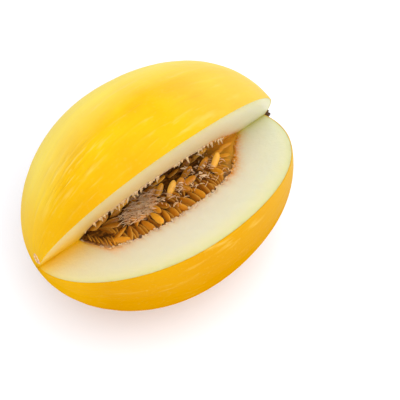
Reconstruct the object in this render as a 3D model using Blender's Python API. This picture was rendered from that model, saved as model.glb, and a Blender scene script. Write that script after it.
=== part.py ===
"""A yellow honeydew melon lying on its side, with one wedge cut out of it.

Run it with: blender --background --python part.py, or from Blender's text editor.

The melon's axis is X: the blossom end is at -X, and the stem end with its dry stalk is at +X.
Angles around the axis run from +Y over +Z. The wedge is missing between two cut faces, which
meet in the axis, so the cavity lies open toward -Y and up.
Everything is first placed about the melon's axis. At the end the whole part is moved so that
its origin is at the bottom centre of its bounding box.
"""
import math
import random

import bmesh
import bpy
from mathutils import Matrix, Vector

MM = 0.001
X_AXIS = Vector((1, 0, 0))

# Skin: a turned shape. The outline's radius is GIRTH * sin(t), times a polynomial in cos(t).
HALF_LENGTH = 92.5 * MM
GIRTH = 72 * MM
OUTLINE = (0, 0.06, 0.12, -0.05, -0.085)
SKIN_SEGMENTS, SKIN_RINGS = 56, 30
FLAT_SPOT_DEPTH = 2.3 * MM

# The two cut faces, by the angle at which each leaves the axis. The knife went just past it.
LOWER_CUT = math.radians(156.6)
UPPER_CUT = math.radians(107.7)
PAST_AXIS = 0.6 * MM

# Cavity: an ellipsoid with three lobes and a drawn-out stem end, its wall ribbed across the axis.
CAVITY_HALF_LENGTH = 68 * MM
CAVITY_CENTRE = -1.5 * MM
CAVITY_RADIUS, CAVITY_LOBE = 30.5 * MM, 4 * MM
STEM_END_POINT = 4
LOBE_ANGLE = math.radians(166)
RIB_COUNT, RIB_DEPTH = 24, 3 * MM
END_STATIONS = (0.03, 0.15, 0.45)
CAVITY_SEGMENTS = 36

# Pulp and seeds.
GAP = 0.4 * MM
FILLED_HALF_LENGTH = CAVITY_HALF_LENGTH - 1.5 * MM
PULP_CENTRE_DEPTH = 13 * MM
LOWER_RECESS, UPPER_RECESS = 3.4 * MM, 6 * MM
PULP_SEGMENTS, PULP_RINGS = 30, 24
SEED_LENGTH, SEED_WIDTH, SEED_THICKNESS = 13.5 * MM, 5.6 * MM, 2.3 * MM
ROOT_MARGIN = 0.3 * MM
RANDOM_SEED = 11

# Stalk and blossom scar.
STALK_RADIUS, STALK_LENGTH = 3.2 * MM, 3.4 * MM
SCAR_PLACE = Vector((-91.4, 1.0, 10.5)) * MM
SCAR_RADIUS, SCAR_RIM = 2.5 * MM, 0.8 * MM


def clear_scene():
    """Remove every object that the scene opened with."""
    for obj in list(bpy.data.objects):
        bpy.data.objects.remove(obj, do_unlink=True)


def new_collection(name):
    collection = bpy.data.collections.new(name)
    bpy.context.scene.collection.children.link(collection)
    return collection


def material(name, colour, roughness):
    """A Principled material of one linear colour."""
    mat = bpy.data.materials.new(name)
    mat.use_nodes = True
    shader = mat.node_tree.nodes["Principled BSDF"]
    shader.inputs["Base Color"].default_value = (*colour, 1)
    shader.inputs["Roughness"].default_value = roughness
    shader.inputs["Metallic"].default_value = 0
    mat.diffuse_color = (*colour, 1)
    return mat


def add_object(name, bm, collection, mat=None, smooth=True):
    """Turn a bmesh into a named object with normals facing out."""
    bm.normal_update()
    bmesh.ops.recalc_face_normals(bm, faces=bm.faces)
    mesh = bpy.data.meshes.new(name)
    bm.to_mesh(mesh)
    bm.free()
    for face in mesh.polygons:
        face.use_smooth = smooth
    if mat:
        mesh.materials.append(mat)
    obj = bpy.data.objects.new(name, mesh)
    collection.objects.link(obj)
    return obj


def as_cutter(obj):
    obj.display_type = "WIRE"
    obj.hide_render = True
    return obj


def add_boolean(obj, operation, other):
    """Cut or join with one object, or with every object of a collection."""
    boolean = obj.modifiers.new(operation.lower(), "BOOLEAN")
    boolean.operation = operation
    boolean.solver = "EXACT"
    if isinstance(other, bpy.types.Collection):
        boolean.operand_type = "COLLECTION"
        boolean.collection = other
        boolean.solver = "MANIFOLD"
    else:
        boolean.object = other
    return boolean


def mapped_sphere(segments, rings, place):
    """A sphere whose points are moved to place(t, around): t runs 0..pi from +X to -X."""
    bm = bmesh.new()
    bmesh.ops.create_uvsphere(bm, u_segments=segments, v_segments=rings, radius=1)
    for vert in bm.verts:
        t = math.acos(max(-1.0, min(1.0, vert.co.z)))
        around = math.atan2(vert.co.y, vert.co.x)
        vert.co = place(t, around)
    return bm


def polar(along, radius, around):
    return Vector((along, radius * math.cos(around), radius * math.sin(around)))


def skin_point(t, around):
    """The skin: the outline, with a slow unevenness of about half a millimetre."""
    c, s = math.cos(t), math.sin(t)
    outline = 1 + sum(k * c ** (i + 1) for i, k in enumerate(OUTLINE))
    uneven = 0.004 * math.sin(3 * around + 1.0 + 1.5 * c) + 0.003 * math.sin(5 * around - 2.0 + 2.2 * c)
    return polar(HALF_LENGTH * c, GIRTH * s * outline * (1 + uneven * s), around)


def rib_crest(along, around, half_length=CAVITY_HALF_LENGTH):
    """Radius of the cavity at the crests of its ribs."""
    reach = (along - CAVITY_CENTRE) / half_length
    taper = math.sqrt(max(0.0, 1 - reach * reach)) / (1 + STEM_END_POINT * max(0.0, reach) ** 8)
    return (CAVITY_RADIUS + CAVITY_LOBE * math.cos(3 * (around - LOBE_ANGLE))) * taper


def clear_radius(along, around):
    """Radius that the pulp and the seeds stay within, a gap inside the ribs."""
    return rib_crest(along, around, FILLED_HALF_LENGTH) - GAP


def rib_stations():
    """Places on the axis of the cavity's rings, from the stem end, and 1 where a ring is a furrow."""
    pitch = CAVITY_HALF_LENGTH / RIB_COUNT
    ribs = [(CAVITY_HALF_LENGTH - pitch * ring, ring % 2) for ring in range(1, 2 * RIB_COUNT)]
    cap = [(CAVITY_HALF_LENGTH - pitch * share, 0) for share in END_STATIONS]
    ends = [(CAVITY_HALF_LENGTH, 0)], [(-CAVITY_HALF_LENGTH, 0)]
    return ends[0] + cap + ribs + [(-place, 0) for place, _ in reversed(cap)] + ends[1]


def cavity_point(t, around):
    """The cavity's wall: rings in turn are crests and furrows, which fade toward both ends."""
    stations = rib_stations()
    ring = round(t / math.pi * (len(stations) - 1))
    place, furrow = stations[ring]
    fade = 1 - (place / CAVITY_HALF_LENGTH) ** 4
    sway = 0.7 * MM * math.sin(2 * around + 0.9 * ring) * fade
    depth = RIB_DEPTH * (0.75 + 0.25 * math.sin(1.7 * ring + 2 * around)) * fade * furrow
    along = CAVITY_CENTRE + place
    return polar(along + sway, rib_crest(along, around) + depth, around)


def lower_face():
    """Directions on the lower cut: outward along the face, and off the face into the gap."""
    out = Vector((0, math.cos(LOWER_CUT), math.sin(LOWER_CUT)))
    off = Vector((0, math.sin(LOWER_CUT), -math.cos(LOWER_CUT)))
    return out, off


def upper_face():
    """The same directions on the upper cut."""
    out = Vector((0, math.cos(UPPER_CUT), math.sin(UPPER_CUT)))
    off = Vector((0, -math.sin(UPPER_CUT), math.cos(UPPER_CUT)))
    return out, off


def make_wedge(collection):
    """The missing wedge: a three-sided prism, longer and taller than the melon."""
    bm = bmesh.new()
    bmesh.ops.create_cone(bm, cap_ends=True, segments=3, radius1=1, radius2=1, depth=2)
    reach = 130 * MM
    apex = polar(0, -PAST_AXIS, (LOWER_CUT + UPPER_CUT) / 2)
    for vert in bm.verts:
        point = apex + X_AXIS * math.copysign(1.4 * HALF_LENGTH, vert.co.z)
        if vert.co.y > 0.5:
            point += lower_face()[0] * reach
        elif vert.co.x < 0:
            point += upper_face()[0] * reach
        vert.co = point
    return as_cutter(add_object("wedge_cutter", bm, collection, smooth=False))


def make_cavity(collection):
    bm = mapped_sphere(CAVITY_SEGMENTS, len(rib_stations()) - 1, cavity_point)
    return as_cutter(add_object("cavity_cutter", bm, collection))


def make_flat_spot(collection):
    """A block that takes the melon's lowest part off, as a melon flattens where it lay."""
    bm = bmesh.new()
    bmesh.ops.create_cube(bm, size=60 * MM)
    lowest = min(skin_point(math.pi / 2 + step * 0.02, -math.pi / 2).z for step in range(-20, 21))
    bmesh.ops.translate(bm, verts=bm.verts, vec=(0, 0, lowest + FLAT_SPOT_DEPTH - 30 * MM))
    return as_cutter(add_object("flat_spot_cutter", bm, collection, smooth=False))


def make_scar(collection):
    """The blossom scar: a low corky ring that joins the skin, and the dimple inside it."""
    bpy.ops.mesh.primitive_torus_add(major_radius=SCAR_RADIUS, minor_radius=SCAR_RIM,
                                     major_segments=14, minor_segments=6,
                                     location=SCAR_PLACE + X_AXIS * 0.35 * MM,
                                     rotation=(0, math.radians(86), 0))
    ring = bpy.context.object
    ring.name = "scar_ring"
    bpy.ops.mesh.primitive_uv_sphere_add(segments=12, ring_count=8, radius=2 * MM,
                                         location=SCAR_PLACE - X_AXIS * 0.6 * MM)
    dimple = bpy.context.object
    dimple.name = "scar_dimple"
    for obj in (ring, dimple):
        for owner in list(obj.users_collection):
            owner.objects.unlink(obj)
        collection.objects.link(obj)
        as_cutter(obj)
    return ring, dimple


def make_body(collection, cutters, wedge):
    """Rind and flesh grown as one: the whole melon, less the wedge, the cavity and the flat spot."""
    ring, dimple = make_scar(cutters)
    body = add_object("melon_body", mapped_sphere(SKIN_SEGMENTS, SKIN_RINGS, skin_point), collection,
                      material("melon_rind_and_flesh", (0.93, 0.62, 0.03), 0.38))
    add_boolean(body, "UNION", ring)
    add_boolean(body, "DIFFERENCE", dimple)
    add_boolean(body, "DIFFERENCE", make_cavity(cutters))
    add_boolean(body, "DIFFERENCE", wedge)
    add_boolean(body, "DIFFERENCE", make_flat_spot(cutters))
    return body


def make_stalk(collection, wedge):
    """The dry stub of the stalk on the stem end, cut through with the melon."""
    bm = bmesh.new()
    bmesh.ops.create_cone(bm, cap_ends=True, segments=14, radius1=STALK_RADIUS,
                          radius2=0.8 * STALK_RADIUS, depth=STALK_LENGTH)
    bmesh.ops.rotate(bm, verts=bm.verts, matrix=Matrix.Rotation(math.pi / 2, 3, "Y"))
    place = (HALF_LENGTH + GAP + STALK_LENGTH / 2, 0, 0)
    bmesh.ops.translate(bm, verts=bm.verts, vec=place)
    stalk = add_object("stalk_stub", bm, collection, material("dry_stalk", (0.12, 0.055, 0.02), 0.85),
                       smooth=False)
    add_boolean(stalk, "DIFFERENCE", wedge)
    return stalk


def pulp_point(t, around):
    """The pulp fills the cavity behind the two cut faces.

    Rays leave a centre line that lies deeper than the melon's axis. Each ends where it comes out
    in front of both faces, or near the cavity's wall, whichever is first.
    """
    along = CAVITY_CENTRE + (FILLED_HALF_LENGTH - 1 * MM) * math.cos(t)
    if math.sin(t) < 0.001:
        return Vector((along, 0, 0))
    taper = rib_crest(along, LOBE_ANGLE) / (CAVITY_RADIUS + CAVITY_LOBE)
    centre = polar(along, PULP_CENTRE_DEPTH * taper, (LOWER_CUT + UPPER_CUT) / 2 + math.pi)
    ray = polar(0, 1, around)
    near, reach = 0, 2 * CAVITY_RADIUS
    for _ in range(16):
        point = centre + ray * (near + reach) / 2
        if point.yz.length > clear_radius(along, math.atan2(point.z, point.y)):
            reach = (near + reach) / 2
        else:
            near = (near + reach) / 2
    above = 0
    for (_, off), recess in ((lower_face(), LOWER_RECESS), (upper_face(), UPPER_RECESS)):
        depth = -centre.dot(off) - recess * taper
        rise = ray.dot(off)
        above = max(above, depth / rise if rise > 0.02 else 1)
    lumps = 1 + 0.04 * math.sin(5 * around + 90 * along / HALF_LENGTH) * math.sin(t)
    return centre + ray * min(reach, above * lumps)


def inside_pulp(point, margin):
    """True where a point lies in the pulp, at least margin below its surface."""
    if point.yz.length > clear_radius(point.x, math.atan2(point.z, point.y)) - margin:
        return False
    taper = rib_crest(point.x, LOBE_ANGLE) / (CAVITY_RADIUS + CAVITY_LOBE)
    return any(-point.dot(off) > recess * taper + margin
               for (_, off), recess in ((lower_face(), LOWER_RECESS), (upper_face(), UPPER_RECESS)))


def seed_shape(t, around):
    """A seed: pointed at its root, round at its tip, and flat. It lies along Z from the origin."""
    share = 0.5 * (1 + math.cos(t))
    fullness = math.sin(t) * (0.62 + 0.45 * share)
    return Vector((fullness * math.cos(around) * SEED_WIDTH / 2,
                   fullness * math.sin(around) * SEED_THICKNESS / 2,
                   share * SEED_LENGTH))


def from_tip(along, out_by, lift, heading, rise, roll, size):
    """The same seed, where the given place is its tip instead of its root."""
    length = size * SEED_LENGTH / MM
    level = length * math.cos(math.radians(rise))
    return (along - level * math.sin(math.radians(heading)), out_by - level * math.cos(math.radians(heading)),
            lift - length * math.sin(math.radians(rise)), heading, rise, roll, size)


def seed_rows(draw):
    """Every seed as (along, out, lift, heading, rise, roll, size), in millimetres and degrees.

    along is the root's place on the axis, out its distance from the axis on the lower cut face
    and lift its height above that face. heading turns the seed on the face: 0 points outward, 90
    to the stem end. rise tips it off the face, and roll turns it about its own length.
    """
    seeds = []
    # A bed of seeds lies in the pulp, below the ones that show best.
    along = -50.0
    while along < 36:
        edge = 1000 * rib_crest(along * MM, LOWER_CUT)
        seeds.append((along, edge - 15, -2.4, draw.uniform(-12, 12), -4, draw.uniform(30, 70), 1.0))
        seeds.append((along + 1, edge - 26, -2.4, draw.uniform(-20, 20), 0, draw.uniform(20, 70), 0.95))
        along += draw.uniform(3.9, 4.7)
    # The outer row lies fanned out side by side, with its tips at the cavity's lower edge.
    for along, out, lift, heading in ((-43, 28, -1.2, -30), (-38, 27, 0.4, -13), (-32.5, 32, -1.0, -8),
                                      (-27, 33.5, 0.8, 4), (-24, 34, -1.4, -20), (-21, 32, 1.0, 0),
                                      (-17.5, 35, -0.8, -14), (-14, 34.5, 0.6, -4), (-11, 34.5, -1.2, -6),
                                      (-6, 33, 0.4, -11), (-3, 35.5, -1.4, 9), (3, 35.5, 1.2, 12),
                                      (6.5, 34.5, -1.2, 0), (11, 34, 0.6, 0), (14.5, 33, -0.8, -8),
                                      (18.5, 32, 0.4, -5), (24, 31, 0.2, -7), (28, 28.5, 0.2, -18),
                                      (31.5, 26, -0.6, 2), (36, 24, -0.4, 14)):
        seeds.append(from_tip(along, out, lift, heading, draw.uniform(-8, -2), draw.uniform(15, 50), 1.0))
    # The middle row shows between the pulp's threads.
    along = -27.0
    while along < 30:
        seeds.append((along, draw.uniform(4, 9), -0.2, draw.uniform(-25, 25), draw.uniform(-6, 8),
                      draw.uniform(20, 70), 0.95))
        along += draw.uniform(4.6, 6.0)
    # Thin seeds at the upper cut point along the melon and stay in its shadow.
    along = -55.0
    while along < 40:
        seeds.append((along, draw.uniform(-7, -4), -0.4, draw.uniform(66, 92), draw.uniform(14, 34),
                      draw.uniform(0, 60), 0.9))
        along += draw.uniform(4.8, 6.4)
    # Big seeds lean on that pulp, with their faces turned up and out.
    for along, out, heading, rise, size in ((24, 7, 91, 33, 1.0), (5, 11, 75, 18, 1.08), (0, 9.5, 88, 31, 1.08),
                                            (-5, 12.5, 104, 40, 1.04), (-9.5, 4.5, 100, 38, 0.95),
                                            (-13, -0.5, 82, 25, 0.95), (-33, 0, 82, 25, 0.95),
                                            (-47, -1.5, 68, 10, 0.95), (12, 3, 84, 30, 0.95)):
        seeds.append((along, out, 0.9, heading, rise, draw.uniform(32, 52), size))
    # A comb of thin seeds stands on edge at the blossom end.
    for step in range(8):
        seeds.append(from_tip(-58.5 + 1.25 * step, 7 + 2.7 * step, 0.3, draw.uniform(-20, -8), -4, 76, 0.72))
    # Big loose seeds lie flat in front of that comb.
    seeds.append((-47, 0.5, 1.0, 50, 2, 20, 0.9))
    seeds.append((-35.5, 11.5, 1.3, -69, 0, 20, 1.06))
    seeds.append((-48, 19.5, 0.8, 42, -2, 22, 1.0))
    # Seeds at the stem end sit deep in jelly and point to its tip.
    seeds.append((30, 15, 0.9, 103, 40, 40, 1.04))
    for along, out, lift, heading, rise in ((35, 11, 0.8, 18, -4), (38, 9, 0.6, 36, -4), (41, 7, 0.4, 48, -4),
                                            (37, 3, 1.6, 82, 8), (47, 3, 0.6, 78, 4)):
        seeds.append((along, out, lift, heading, rise, 40, 0.95))
    return seeds


def inside_seed(point, placed):
    """True where a point lies well inside a seed that is already in place."""
    for matrix in placed:
        local = matrix.inverted() @ point
        share = local.z / SEED_LENGTH
        if 0.1 < share < 0.9:
            full = math.sin(math.acos(2 * share - 1)) * (0.62 + 0.45 * share)
            across = 2 * local.x / (SEED_WIDTH * full)
            through = 2 * local.y / (SEED_THICKNESS * full)
            if across * across + through * through < 0.7:
                return True
    return False


def place_seed(seed, placed):
    """The matrix of one seed.

    It is slid back along its own length until it clears the cavity's wall, and then sunk until
    the pulp or a seed already in place holds its root.
    """
    along, out_by, lift, heading, rise, roll, size = seed
    out, off = lower_face()
    flat = out * math.cos(math.radians(heading)) + X_AXIS * math.sin(math.radians(heading))
    point_to = flat * math.cos(math.radians(rise)) + off * math.sin(math.radians(rise))
    face = Matrix.Rotation(math.radians(roll), 3, point_to) @ (off - point_to * off.dot(point_to)).normalized()
    turn = Matrix((face.cross(point_to), face, point_to)).transposed()
    root = (X_AXIS * along + out * out_by + off * lift) * MM
    for _ in range(40):
        worst = 0.0
        for share in (0, 0.15, 0.3, 0.5, 0.7, 0.85, 1):
            for side in (-1, 1):
                spread = math.sin(math.pi * share) * size
                point = root + point_to * share * SEED_LENGTH * size
                point += turn.col[0] * side * spread * SEED_WIDTH / 2
                wall = clear_radius(point.x, math.atan2(point.z, point.y))
                worst = max(worst, point.yz.length + SEED_THICKNESS / 2 * spread - wall)
        low_side = turn.col[1] * 0.3 * SEED_THICKNESS * size
        held = False
        for share in (0.2, 0.35, 0.5, 0.65):
            point = root + point_to * share * SEED_LENGTH * size - low_side
            held = held or inside_pulp(point, ROOT_MARGIN) or inside_seed(point, placed)
        if worst <= 0 and held:
            return Matrix.Translation(root) @ turn.to_4x4() @ Matrix.Scale(size, 4)
        if worst > 0:
            root -= point_to * 0.5 * MM + Vector((0, *root.yz.normalized())) * 0.2 * MM
        if not held:
            root -= off * 0.3 * MM
    return None


def keep_largest_body(mesh):
    """Drop loose scraps, and fill hollows that the union sealed."""
    bm = bmesh.new()
    bm.from_mesh(mesh)
    unseen = set(bm.verts)
    bodies = []
    while unseen:
        stack = [unseen.pop()]
        body = list(stack)
        while stack:
            for edge in stack.pop().link_edges:
                for vert in edge.verts:
                    if vert in unseen:
                        unseen.remove(vert)
                        stack.append(vert)
                        body.append(vert)
        bodies.append(body)
    bodies.sort(key=len)
    print("bodies dropped from the seed mass:", len(bodies) - 1)
    for body in bodies[:-1]:
        bmesh.ops.delete(bm, geom=body, context="VERTS")
    bm.to_mesh(mesh)
    bm.free()


def make_seed_mass(collection):
    """Pulp and seeds in one body: each seed is rooted in the pulp and stands out of it."""
    pulp = add_object("seed_mass", mapped_sphere(PULP_SEGMENTS, PULP_RINGS, pulp_point), collection,
                      material("seeds_in_pulp", (0.55, 0.27, 0.06), 0.35))
    loose = new_collection("loose seeds")
    placed = []
    for seed in seed_rows(random.Random(RANDOM_SEED)):
        matrix = place_seed(seed, placed)
        if matrix is None:
            continue
        placed.append(matrix)
        bm = mapped_sphere(6, 5, seed_shape)
        bm.transform(matrix)
        add_object(f"seed_{len(placed):03d}", bm, loose)
    print("seeds:", len(placed))
    add_boolean(pulp, "UNION", loose)
    bpy.context.view_layer.update()
    joined = bpy.data.meshes.new_from_object(pulp.evaluated_get(bpy.context.evaluated_depsgraph_get()))
    keep_largest_body(joined)
    pulp.modifiers.clear()
    pulp.data = joined
    for seed in list(loose.objects):
        bpy.data.objects.remove(seed, do_unlink=True)
    bpy.data.collections.remove(loose)
    return pulp


def stand_on_origin(parts):
    """Move the part so that the origin is at the bottom centre of its bounding box."""
    bpy.context.view_layer.update()
    graph = bpy.context.evaluated_depsgraph_get()
    corners = []
    for obj in parts:
        corners += [vert.co.copy() for vert in obj.evaluated_get(graph).data.vertices]
    low = [min(corner[axis] for corner in corners) for axis in range(3)]
    high = [max(corner[axis] for corner in corners) for axis in range(3)]
    rest = bpy.data.objects.new("melon", None)
    bpy.context.scene.collection.objects.link(rest)
    rest.location = (-(low[0] + high[0]) / 2, -(low[1] + high[1]) / 2, -low[2])
    for obj in bpy.data.objects:
        if obj is not rest:
            obj.parent = rest
    print("axis of the melon above the floor, mm:", round(rest.location.z / MM, 3))
    print("centre of the melon, mm:", [round(value / MM, 3) for value in rest.location])


def main():
    clear_scene()
    parts = new_collection("honeydew melon")
    cutters = new_collection("cutters")
    wedge = make_wedge(cutters)
    body = make_body(parts, cutters, wedge)
    stalk = make_stalk(parts, wedge)
    seeds = make_seed_mass(parts)
    stand_on_origin([body, stalk, seeds])


main()
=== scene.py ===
"""A yellow honeydew melon lying on its side, with one wedge cut out of it, on a pale floor.

The melon's axis is X: the blossom end is at -X, the stem end at +X. Angles around the axis run
from +Y over +Z. The two cut faces meet in the axis, so the cavity lies open toward -Y and up.
"""
import math
import random

import bmesh
import bpy
import numpy as np
from mathutils import Matrix, Vector


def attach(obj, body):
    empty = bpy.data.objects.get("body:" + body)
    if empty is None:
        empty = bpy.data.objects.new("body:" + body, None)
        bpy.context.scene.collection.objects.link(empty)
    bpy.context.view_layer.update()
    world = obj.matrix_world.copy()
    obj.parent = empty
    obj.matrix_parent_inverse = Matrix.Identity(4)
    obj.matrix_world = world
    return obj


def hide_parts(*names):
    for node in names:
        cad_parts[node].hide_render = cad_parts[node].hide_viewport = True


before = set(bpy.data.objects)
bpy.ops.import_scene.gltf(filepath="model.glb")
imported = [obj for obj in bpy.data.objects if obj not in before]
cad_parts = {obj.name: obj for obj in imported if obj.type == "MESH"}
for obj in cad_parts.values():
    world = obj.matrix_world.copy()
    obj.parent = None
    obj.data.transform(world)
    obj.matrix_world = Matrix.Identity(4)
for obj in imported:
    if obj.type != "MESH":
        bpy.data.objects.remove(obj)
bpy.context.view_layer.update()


# Rind: the yellow skin, about 1 mm thick and waxy, grown as one with the flesh and cut through
# with it. It is a closed shell: the outer and inner walls meet in the two cut edges, and the
# melon has flattened a little where it lies.
MM = 0.001
AXIS_PLACE = np.array((-1.9, -0.046, 69.948)) * MM
HALF_LENGTH, GIRTH = 92.5 * MM, 72 * MM
OUTLINE = (0, 0.06, 0.12, -0.05, -0.085)
LOWER_CUT, UPPER_CUT = math.radians(156.6), math.radians(107.7)
WHOLE_TURN = 2 * math.pi
RIND = 0.9 * MM


def skin_radius(t, around):
    """Radius of the skin: girth times sin t and a polynomial in cos t, times a slow unevenness."""
    c, s = np.cos(t), np.sin(t)
    outline = 1 + sum(k * c ** (i + 1) for i, k in enumerate(OUTLINE))
    uneven = 0.004 * np.sin(3 * around + 1.0 + 1.5 * c) + 0.003 * np.sin(5 * around - 2.0 + 2.2 * c)
    return GIRTH * s * outline * (1 + uneven * s)


def waves(points, wavelength, seed, count=7):
    """Soft unevenness from about -1 to 1: a sum of sine waves in directions drawn at random."""
    draw = np.random.default_rng(seed)
    total = np.zeros(points.shape[:-1])
    for _ in range(count):
        direction = draw.normal(size=3)
        direction /= np.linalg.norm(direction) * wavelength * draw.uniform(0.7, 1.4)
        total += np.sin(points @ direction * WHOLE_TURN + draw.uniform(0, WHOLE_TURN))
    return total / count ** 0.5 / 1.5


def about_axis(along, radius, around):
    """Points at a place along the axis, a distance from it and an angle around it."""
    along, radius, around = np.broadcast_arrays(along, radius, around)
    return np.stack((along, radius * np.cos(around), radius * np.sin(around)), axis=-1) + AXIS_PLACE


def shell(t, around, depth):
    """Points at a depth under the skin, measured square to the melon's outline."""
    step = 0.0005
    slope = (skin_radius(t + step, around) - skin_radius(t - step, around)) / (2 * step)
    run = HALF_LENGTH * np.sin(t)
    length = np.hypot(slope, run) + 1e-9
    radius = np.maximum(skin_radius(t, around) - depth * run / length, 0)
    return about_axis(HALF_LENGTH * np.cos(t) - depth * slope / length, radius, around)


def settle(points, level):
    """Lift what would lie below a level onto it, with a soft edge: half of height plus its root."""
    points = points.copy()
    height = points[..., 2] - level
    points[..., 2] = level + 0.5 * (height + np.sqrt(height ** 2 + (0.3 * MM) ** 2))
    return points


def grid_quads(rows, columns):
    """Quads of a grid whose points are counted row by row; each row is a closed loop."""
    row, column = np.meshgrid(np.arange(rows - 1), np.arange(columns), indexing="ij")
    here, after = row * columns + column, row * columns + (column + 1) % columns
    return np.stack((here, after, after + columns, here + columns), axis=-1).reshape(-1, 4)


def make_piece(name, points, quads, mat, values={}, merge=0.002 * MM):
    """A smooth mesh, faces outward and coinciding points merged. values are its point attributes."""
    points = np.ascontiguousarray(points.reshape(-1, 3))
    a, b, c, d = (points[quads[:, corner]] for corner in range(4))
    if (a * (np.cross(b, c) + np.cross(c, d))).sum() < 0:
        quads = quads[:, ::-1]
    mesh = bpy.data.meshes.new(name)
    mesh.from_pydata(points.tolist(), [], quads.tolist())
    for key, value in values.items():
        mesh.attributes.new(key, "FLOAT", "POINT").data.foreach_set("value", value.astype(np.float32).ravel())
    bm = bmesh.new()
    bm.from_mesh(mesh)
    bmesh.ops.remove_doubles(bm, verts=bm.verts, dist=merge)
    bmesh.ops.dissolve_degenerate(bm, dist=merge / 2, edges=bm.edges)
    bm.to_mesh(mesh)
    bm.free()
    mesh.polygons.foreach_set("use_smooth", [True] * len(mesh.polygons))
    mesh.materials.append(mat)
    piece = bpy.data.objects.new(name, mesh)
    bpy.context.scene.collection.objects.link(piece)
    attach(piece, "root")
    return piece


def srgb(code):
    """A hex colour as linear red, green, blue and alpha."""
    parts = [int(code[i:i + 2], 16) / 255 for i in (1, 3, 5)]
    return tuple(p / 12.92 if p <= 0.04045 else ((p + 0.055) / 1.055) ** 2.4 for p in parts) + (1.0,)


def new_material(name, colour, roughness, **sockets):
    """A Principled material; sockets are named with _ for a space."""
    mat = bpy.data.materials.new(name)
    mat.use_nodes = True
    shader = mat.node_tree.nodes["Principled BSDF"]
    for key, value in {"Base_Color": srgb(colour), "Roughness": roughness, **sockets}.items():
        shader.inputs[key.replace("_", " ")].default_value = value
    mat.diffuse_color = srgb(colour)
    return mat


def add_node(mat, kind, inputs, out=0, stops=(), to=None, **settings):
    """Add a shader node and give one of its outputs.

    inputs sets sockets by name or number: an output is linked, a hex colour is made linear, and a
    number is set. stops are the (place, colour) pairs of a ramp. to names the socket of the
    material's own shader that the output feeds. settings are the node's properties.
    """
    tree = mat.node_tree
    node = tree.nodes.new("ShaderNode" + kind)
    for key, value in settings.items():
        setattr(node, key, value)
    for key, value in inputs.items():
        if isinstance(value, bpy.types.NodeSocket):
            tree.links.new(value, node.inputs[key])
        else:
            node.inputs[key].default_value = srgb(value) if isinstance(value, str) else value
    for number, (place, colour) in enumerate(stops):
        ramp = node.color_ramp
        element = ramp.elements[number] if number < 2 else ramp.elements.new(place)
        element.position, element.color = place, srgb(colour)
    if to:
        tree.links.new(node.outputs[out], tree.nodes["Principled BSDF"].inputs[to])
    return node.outputs[out]


# Settings that many nodes share: a product, a line, a line kept within 0 and 1, and a colour mix.
TIMES = {"operation": "MULTIPLY"}
LINE = {"operation": "MULTIPLY_ADD"}
RAMP = {"operation": "MULTIPLY_ADD", "use_clamp": True}
BLEND = {"out": 2, "data_type": "RGBA"}

# Ripe honeydew rind: smooth wax over a deep yellow skin. The wax gives a soft wide gloss. Painted shade
# deepens the lower side and the near side to orange, a painted sheen makes the far side's top paler, and
# faint pale creases run lengthwise, most of all on the blossom half's crown.
rind_mat = new_material("waxy_yellow_rind", "#e2b100", 0.5)
place = add_node(rind_mat, "TexCoord", {}, "Object")
along = add_node(rind_mat, "SeparateXYZ", {0: place}, "X")
drawn_out = add_node(rind_mat, "Math", {0: along, 1: 0.2}, **TIMES)
round_y = add_node(rind_mat, "Attribute", {}, "Fac", attribute_name="round_y")
round_z = add_node(rind_mat, "Attribute", {}, "Fac", attribute_name="round_z")
lengthwise = add_node(rind_mat, "CombineXYZ", {0: drawn_out, 1: round_y, 2: round_z})
across = add_node(rind_mat, "SeparateXYZ", {0: place}, "Y")
height = add_node(rind_mat, "SeparateXYZ", {0: place}, "Z")
clouds = add_node(rind_mat, "TexNoise", {"Vector": place, "Scale": 1 / (30 * MM), "Detail": 4.0})
colour = add_node(rind_mat, "ValToRGB", {0: clouds}, stops=(
    (0.32, "#e0aa00"), (0.68, "#e8be04"), (0.5, "#e5b502")))
stem_side = add_node(rind_mat, "Math", {0: along, 1: 1 / (110 * MM), 2: 0.0}, **RAMP)
blossom_half = add_node(rind_mat, "Math", {0: along, 1: -1 / (105 * MM)}, use_clamp=True, **TIMES)
toward_cut = add_node(rind_mat, "Math", {0: across, 1: -1 / (40 * MM), 2: 0.5}, **RAMP)
blossom_half = add_node(rind_mat, "Math", {0: blossom_half, 1: toward_cut}, **TIMES)
# Painted shade: the lower side is coloured a deeper orange, most at the bottom.
lower_painted_shade = add_node(rind_mat, "Math", {0: height, 1: -1 / (60 * MM), 2: 1.5}, **RAMP)
lower_painted_shade = add_node(rind_mat, "Math", {0: lower_painted_shade, 1: 0.85}, **TIMES)
# Painted shade: the near side, toward the cut, is coloured a darker orange.
near_painted_shade = add_node(rind_mat, "Math", {0: across, 1: -1 / (90 * MM), 2: 0.06}, **RAMP)
both_ends = add_node(rind_mat, "Math", {0: along, 1: along}, **TIMES)
both_ends = add_node(rind_mat, "Math", {0: both_ends, 1: 0.3 / (70 * MM) ** 2, 2: -0.42}, **LINE)
# Painted sheen: the far side's upper part is coloured paler, more so toward both ends.
far_painted_sheen = add_node(rind_mat, "Math", {0: across, 1: 1 / (40 * MM), 2: both_ends}, **RAMP)
far_painted_sheen = add_node(rind_mat, "Math", {0: far_painted_sheen, 1: 0.6}, operation="MINIMUM")
sunny = add_node(rind_mat, "Math", {0: height, 1: 1 / (50 * MM), 2: -1.2}, **RAMP)
far_painted_sheen = add_node(rind_mat, "Math", {0: far_painted_sheen, 1: sunny}, **TIMES)
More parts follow.
